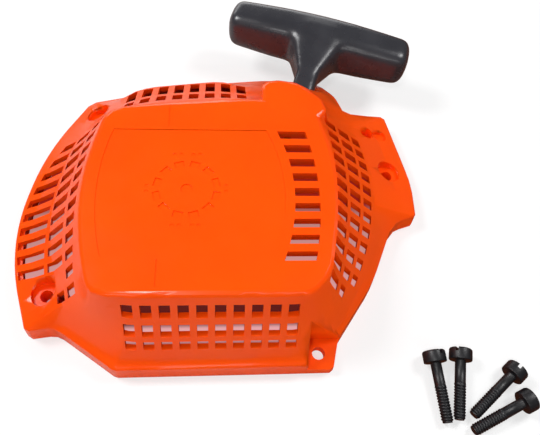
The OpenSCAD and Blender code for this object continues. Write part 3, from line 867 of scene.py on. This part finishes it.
    def build(self) -> list[Object]:
        """Builds the four screws as one piece.

        Returns:
            The piece with all four screws.
        """
        whole = bmesh.new()
        for group, roll in zip(loose_parts(self.nodes["cover_screws"]), self.rolls_deg):
            tip, ahead = self.axis_of(group)
            screw = self.slotted((max(p.dot(ahead) for p in group) - tip.dot(ahead)) / MM)
            side = UP.cross(ahead).normalized()
            turn = Matrix((ahead.cross(side), side, ahead)).transposed().to_4x4()
            screw.transform(Matrix.Translation(tip) @ turn @ Matrix.Rotation(radians(roll), 4, "Z"))
            whole.from_mesh(screw)
        mesh = mesh_of("cover_screws_detailed", whole)
        mesh.shade_smooth()
        mesh.set_sharp_from_angle(angle=radians(self.crisp_deg))
        piece = new_piece("loose_screws", mesh)
        Finish.SCREW.dress(piece)
        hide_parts("cover_screws")
        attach(piece, "cover")
        return [piece]


@dataclass
class StarterRope:
    """The rope that is led out to the handle, and the stopper knot in the handle."""

    record: dict[str, Any]
    rope_r: float = 1.68
    sides: int = 20
    wrap_deg: float = 300.0
    wrap_steps: int = 90
    step_mm: float = 1.2
    end_short_mm: float = 3.4
    strands: int = 8
    braid_mm: float = 5.0
    plain_mm: tuple[float, float] = (1.5, 8.5)
    relief: float = 0.12
    knot_rope_r: float = 1.2
    knot_steps: int = 120
    knot_height: float = 1.6
    knot_relief: float = 0.6

    def tube(self, name: str, route: Sequence[tuple[Vector, float]], rope_r: float) -> Mesh:
        """Sweeps the rope's round section, dented between its strands, along a route.

        Args:
            name: Name of the mesh.
            route: Points of the rope's middle, in metres, each with how strongly the braid
                shows there, from 0 to 1.
            rope_r: Half of the rope's thickness in millimetres.

        Returns:
            The rope's mesh.
        """
        rings, run, last = [], 0.0, len(route) - 1
        for k, (point, depth) in enumerate(route):
            back, on = route[max(k - 1, 0)][0], route[min(k + 1, last)][0]
            ahead = (on - back).normalized()
            side = UP.cross(ahead)
            side = side.normalized() if side.length > TINY else Vector((1, 0, 0))
            top = ahead.cross(side)
            run += (point - back).length
            phase = 2 * pi * run / (self.braid_mm * MM)
            ring = []
            for n in range(self.sides):
                angle = 2 * pi * n / self.sides
                strand = self.strands / 2 * angle
                dent = sin(strand + phase) * sin(strand - phase)
                radius = (rope_r - self.relief * depth * (0.5 + 0.5 * dent)) * MM
                ring.append(point + (side * cos(angle) + top * sin(angle)) * radius)
            rings.append(ring)
        return mesh_from(name, *skin(rings))

    def marks(self, start: float, stop: float) -> list[float]:
        """Lists evenly spaced places along the rope.

        Args:
            start: First place in metres.
            stop: Place that isn't reached.

        Returns:
            The places in metres.
        """
        places = []
        while start < stop:
            places.append(start)
            start += self.step_mm * MM
        return places

    def lead(self) -> Object:
        """Builds the rope's last layer and its straight run to the handle.

        Returns:
            The rope.
        """
        knot, pull = pull_line(self.record)
        run = knot.dot(pull)
        foot = knot - pull * run
        winding = Vector((foot.x, foot.y, 0)).length
        start = atan2(foot.y, foot.x)
        route = []
        for k in range(self.wrap_steps, 0, -1):
            angle = start - radians(self.wrap_deg) * k / self.wrap_steps
            route.append((Vector((winding * cos(angle), winding * sin(angle), knot.z)), 1.0))
        # The run just outside the bushing is drawn without braid. It has no braid that could
        # be drawn out with it.
        low, high = (Vector(c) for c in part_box("rope_bushing"))
        outlet = ((low + high) / 2).dot(pull)
        plain_from, plain_to = (outlet + place * MM for place in self.plain_mm)
        end = run - self.end_short_mm * MM
        route += [(foot + pull * place, 1.0) for place in self.marks(0.0, plain_from)]
        route += [(foot + pull * place, 0.0) for place in (plain_from, plain_to)]
        route += [(foot + pull * place, 1.0) for place in self.marks(plain_to + self.step_mm * MM, end)]
        route.append((foot + pull * end, 1.0))
        piece = new_piece("led_rope", self.tube("led_rope", route, self.rope_r))
        Finish.ROPE.dress(piece)
        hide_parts("rope_lead")
        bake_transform(piece)
        return piece

    def knot(self, name: str, node: str, body: str) -> Object:
        """Ties a stopper knot, a trefoil, in the place of a CAD knot.

        Args:
            name: Name of the piece.
            node: CAD knot that it replaces.
            body: Body that it rides.

        Returns:
            The knot.
        """
        low, high = (Vector(c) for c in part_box(node))
        middle = (low + high) / 2
        scale = (min(high - low) / 2 - self.knot_rope_r * MM) / TREFOIL_REACH
        _, pull = pull_line(self.record)
        turn = pull.to_track_quat("Z", "X").to_matrix()
        route = []
        for k in range(self.knot_steps + 1):
            t = 2 * pi * k / self.knot_steps
            x = sin(t) + 2 * sin(2 * t)
            y = cos(t) - 2 * cos(2 * t)
            spot = Vector((x, y, -self.knot_height * sin(3 * t)))
            route.append((middle + turn @ (spot * scale), self.knot_relief))
        piece = new_piece(name, self.tube(name, route, self.knot_rope_r))
        Finish.ROPE.dress(piece)
        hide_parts(node)
        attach(piece, body)
        return piece

    def build(self) -> list[Object]:
        """Builds the rope and the knot in the handle."""
        return [self.lead(), self.knot("handle_stopper_knot", "handle_knot", "handle")]


@dataclass
class InnerWorks:
    """Spring cassette, pulley and their fixings, which keep their CAD form."""

    nodes: dict[str, Object]
    wear: tuple[tuple[Finish, tuple[str, ...]], ...] = (
        (Finish.INNER, ("rope_bushing", "spring_cassette", "rope_pulley")),
        (Finish.ZINC, ("cassette_cover", "cassette_screws", "pulley_washer", "pulley_screw")),
        (Finish.SPRING, ("recoil_spring",)),
        (Finish.ROPE, ("rope_coil", "pulley_knot")),
    )

    def build(self) -> list[Object]:
        """Dresses the CAD nodes."""
        return [finish.dress(self.nodes[name]) for finish, names in self.wear for name in names]


# ------------ studio


@dataclass(frozen=True)
class Lamp:
    """A soft rectangular lamp that faces the starter."""

    name: str
    place: tuple[float, float, float]
    width: float
    height: float
    watts: float

    def hang(self) -> None:
        """Hangs the lamp."""
        data = bpy.data.lights.new(self.name, "AREA")
        data.shape = "RECTANGLE"
        data.size = self.width
        data.size_y = self.height
        data.energy = self.watts
        lamp = bpy.data.objects.new(self.name, data)
        bpy.context.scene.collection.objects.link(lamp)
        lamp.location = Vector(self.place)
        lamp.rotation_euler = (-Vector(self.place)).to_track_quat("-Z", "Y").to_euler()


@dataclass
class Studio:
    """Pale floor, soft lamps and the camera."""

    camera_mm: tuple[float, float, float] = (14.52, -131.21, 250.0)
    azimuth_deg: float = 9.6
    elevation_deg: float = 60.0
    roll_deg: float = 8.3
    focal_widths: float = 580 / 540
    sensor_mm: float = 36.0
    clip_m: float = 0.01
    floor_half_m: float = 3.0
    floor_drop_mm: float = 0.08
    floor_colour: str = "fdfdfd"
    floor_white: float = 0.6
    floor_roughness: float = 0.9
    shade_drop_mm: float = 0.04
    foot_mm: float = 0.02
    # Painted light and shade on the card inside the cover, from front to back, over twice its reach.
    shade_reach_m: float = 0.06
    painted_light_and_shade_tones: Stops = ((0.05, "7a3028"), (0.085, "e8a6a8"), (0.6, "b9807a"), (0.66, "961e16"))
    # Painted shadow behind the front wall: its colour, its strip from front to back, and where it fades out
    # to the sides.
    painted_shadow_colour: str = "5f1e1a"
    painted_shadow_strip: Stops = ((0.12, "000000"), (0.14, "ffffff"), (0.22, "ffffff"), (0.25, "000000"))
    painted_shadow_ends_m: tuple[float, float] = (0.064, 0.058)
    sky: float = 0.12
    # Painted reflection: the dim warm tone that the card shows in the plastic's gloss, and how it rises to
    # the right.
    painted_reflection_colour: str = "ff8a50"
    painted_reflection_level: float = 0.2
    painted_reflection_least: float = 0.55
    painted_reflection_rise_m: tuple[float, float] = (0.03, 0.07)
    # The keys hang outside the strip of ceiling that the flat face mirrors to the camera, so its
    # orange stays deep. The thin lamps in front draw the bright lines along the rounded edges.
    lamps: tuple[Lamp, ...] = (
        Lamp("key_left", (-0.38, 0.15, 0.54), 0.2, 0.2, 2.7),
        Lamp("key_right", (0.42, 0.14, 0.53), 0.2, 0.2, 1.9),
        Lamp("back", (-0.1, 1.0, 0.2), 1.0, 0.3, 2.7),
        Lamp("front", (-0.09, -0.25, 0.49), 0.05, 0.05, 0.7),
        Lamp("strip", (0.0, -0.5, 0.42), 0.6, 0.03, 0.7),
    )

    def camera(self) -> None:
        """Makes the camera that looks down on the starter from its front edge."""
        lens = bpy.data.cameras.new("camera")
        lens.sensor_width = self.sensor_mm
        lens.lens = self.sensor_mm * self.focal_widths
        lens.clip_start = self.clip_m
        eye = bpy.data.objects.new("camera", lens)
        bpy.context.scene.collection.objects.link(eye)
        azimuth, elevation = radians(self.azimuth_deg), radians(self.elevation_deg)
        level_ahead = Vector((sin(azimuth), cos(azimuth), 0))
        ahead = level_ahead * cos(elevation) - UP * sin(elevation)
        level_right = Vector((cos(azimuth), -sin(azimuth), 0))
        right = Matrix.Rotation(-radians(self.roll_deg), 3, ahead) @ level_right
        turn = Matrix((right, right.cross(ahead), -ahead)).transposed()
        eye.matrix_world = Matrix.Translation(Vector(self.camera_mm) * MM) @ turn.to_4x4()
        bpy.context.scene.camera = eye

    def floor(self) -> None:
        """Makes the pale floor that the cover and the screws lie on."""
        half, drop = self.floor_half_m, self.floor_drop_mm * MM
        corners = [Vector((x * half, y * half, -drop)) for x, y in ((-1, -1), (1, -1), (1, 1), (-1, 1))]
        piece = new_piece("floor", mesh_from("floor", corners, [(0, 1, 2, 3)]))
        piece.data.materials.append(self.white_card())

    def shaded_floor(self, cover: Object) -> None:
        """Lays a card inside the cover's rim, where the floor is in the dark, with that floor's light and
        shade painted on it.

        Args:
            cover: CAD node of the cover.
        """
        work = bmesh.new()
        work.from_mesh(cover.data)
        bmesh.ops.transform(work, matrix=cover.matrix_world, verts=work.verts)
        bmesh.ops.remove_doubles(work, verts=work.verts, dist=JOIN_MM * MM)
        foot = {f for f in work.faces if max(abs(v.co.z) for v in f.verts) < self.foot_mm * MM}
        rim = [e for e in work.edges if sum(f in foot for f in e.link_faces) == 1]
        # The largest area that the foot's edges close off is the cover's outline, the next one the
        # inside of its rim.
        fills = sorted(bmesh.ops.edgeloop_fill(work, edges=rim)["faces"], key=lambda f: f.calc_area())
        drop = self.shade_drop_mm * MM
        corners = [Vector((v.co.x, v.co.y, -drop)) for v in fills[-2].verts]
        work.free()
        piece = new_piece("shaded_floor", mesh_from("shaded_floor", corners, [range(len(corners))]))
        piece.data.materials.append(self.shaded_card())

    def shaded_card(self) -> Material:
        """Makes the floor inside the cover, with painted light where light falls through the grilles and
        painted shade elsewhere.

        Returns:
            The material.
        """
        sheet = NodeSheet(bpy.data.materials.new("shaded_card"))
        place = sheet.add("ShaderNodeTexCoord")
        axes = sheet.add("ShaderNodeSeparateXYZ", [(place, "Object", "Vector")])
        reach = self.shade_reach_m
        # Painted light and shade: pale where light from the openings reaches the floor under the front
        # half, and dark orange-red at the back.
        depth = sheet.add("ShaderNodeMapRange", [(axes, "Y", "Value")], From_Min=-reach, From_Max=reach)
        tone = sheet.add("ShaderNodeValToRGB", [(depth, "Result", "Fac")], self.painted_light_and_shade_tones)
        # Painted shadow: the strip right behind the front wall, where that wall's shadow falls, turns to
        # the shadow colour.
        across = sheet.add("ShaderNodeMath", [(axes, "X", 0)], operation="ABSOLUTE")
        low, high = self.painted_shadow_ends_m
        middle = sheet.add("ShaderNodeMapRange", [(across, "Value", "Value")], From_Min=low, From_Max=high)
        strip = sheet.add("ShaderNodeValToRGB", [(depth, "Result", "Fac")], self.painted_shadow_strip)
        links = [(middle, "Result", 0), (strip, "Color", 1)]
        shade = sheet.add("ShaderNodeMath", links, operation="MULTIPLY")
        links = [(shade, "Value", "Factor"), (tone, "Color", "A")]
        colour = sheet.add("ShaderNodeMix", links, data_type="RGBA")
        socket(colour.inputs, "B").default_value = linear(self.painted_shadow_colour)
        # The camera sees the painted light and shade as glow; other rays meet a card of the same colours.
        light = sheet.add("ShaderNodeEmission", [(colour, "Result", "Color")], Strength=1.0)
        links = [(colour, "Result", "Base Color")]
        card = sheet.add("ShaderNodeBsdfPrincipled", links, Roughness=self.floor_roughness)
        path = sheet.add("ShaderNodeLightPath")
        links = [(path, "Is Camera Ray", "Fac"), (card, "BSDF", 1), (light, "Emission", 2)]
        shader = sheet.add("ShaderNodeMixShader", links)
        sheet.add("ShaderNodeOutputMaterial", [(shader, "Shader", "Surface")])
        return sheet.owner

    def white_card(self) -> Material:
        """Makes the floor's white card, with a painted reflection of it in the plastic's gloss.

        Returns:
            The material.
        """
        sheet = NodeSheet(bpy.data.materials.new("white_card"))
        colour, dull = linear(self.floor_colour), self.floor_roughness
        card = sheet.add("ShaderNodeBsdfPrincipled", Base_Color=colour, Roughness=dull)
        # The card looks white to the camera, and still darkens in the object's shadow.
        white = sheet.add("ShaderNodeEmission", Color=(1, 1, 1, 1), Strength=1.0)
        path = sheet.add("ShaderNodeLightPath")
        seen = sheet.add("ShaderNodeMath", [(path, "Is Camera Ray", 0)], operation="MULTIPLY")
        seen.inputs[1].default_value = self.floor_white
        links = [(seen, "Value", "Fac"), (card, "BSDF", 1), (white, "Emission", 2)]
        shader = sheet.add("ShaderNodeMixShader", links)
        # Painted reflection: in the plastic's gloss the card turns into a dim warm glow, partly on the left
        # and fully on the right, where the orange is deepest.
        place = sheet.add("ShaderNodeTexCoord")
        axes = sheet.add("ShaderNodeSeparateXYZ", [(place, "Object", "Vector")])
        low, high = self.painted_reflection_rise_m
        rise = {"From_Min": low, "From_Max": high, "To_Min": self.painted_reflection_least}
        aside = sheet.add("ShaderNodeMapRange", [(axes, "X", "Value")], **rise)
        links = [(path, "Is Glossy Ray", 0), (aside, "Result", 1)]
        dim = sheet.add("ShaderNodeMath", links, operation="MULTIPLY")
        colour = linear(self.painted_reflection_colour)
        tint = sheet.add("ShaderNodeEmission", Color=colour, Strength=self.painted_reflection_level)
        links = [(dim, "Value", "Fac"), (shader, "Shader", 1), (tint, "Emission", 2)]
        whole = sheet.add("ShaderNodeMixShader", links)
        sheet.add("ShaderNodeOutputMaterial", [(whole, "Shader", "Surface")])
        return sheet.owner

    def world(self) -> None:
        """Makes an even pale sky."""
        world = bpy.data.worlds.new("studio")
        bpy.context.scene.world = world
        sheet = NodeSheet(world)
        sky = sheet.add("ShaderNodeBackground", Color=(1, 1, 1, 1), Strength=self.sky)
        sheet.add("ShaderNodeOutputWorld", [(sky, "Background", "Surface")])

    def light(self) -> None:
        """Hangs the lamps and sets a plain view of their light."""
        self.world()
        for lamp in self.lamps:
            lamp.hang()
        bpy.context.scene.view_settings.view_transform = "Standard"


def main() -> None:
    """Builds the whole scene in order."""
    logging.basicConfig(level=logging.INFO, format="%(message)s")
    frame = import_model()
    studio = Studio()
    studio.camera()
    studio.floor()
    studio.light()
    nodes = frame["nodes"]
    studio.shaded_floor(nodes["starter_housing"])
    parts = (
        StarterCover(nodes),
        TeeHandle(nodes, frame["record"]),
        StarterRope(frame["record"]),
        CoverScrews(nodes),
        InnerWorks(nodes),
    )
    for part in parts:
        for piece in part.build():
            LOG.info("%s: %s, %d faces", type(part).__name__, piece.name, len(piece.data.polygons))


if __name__ == "__main__":
    main()
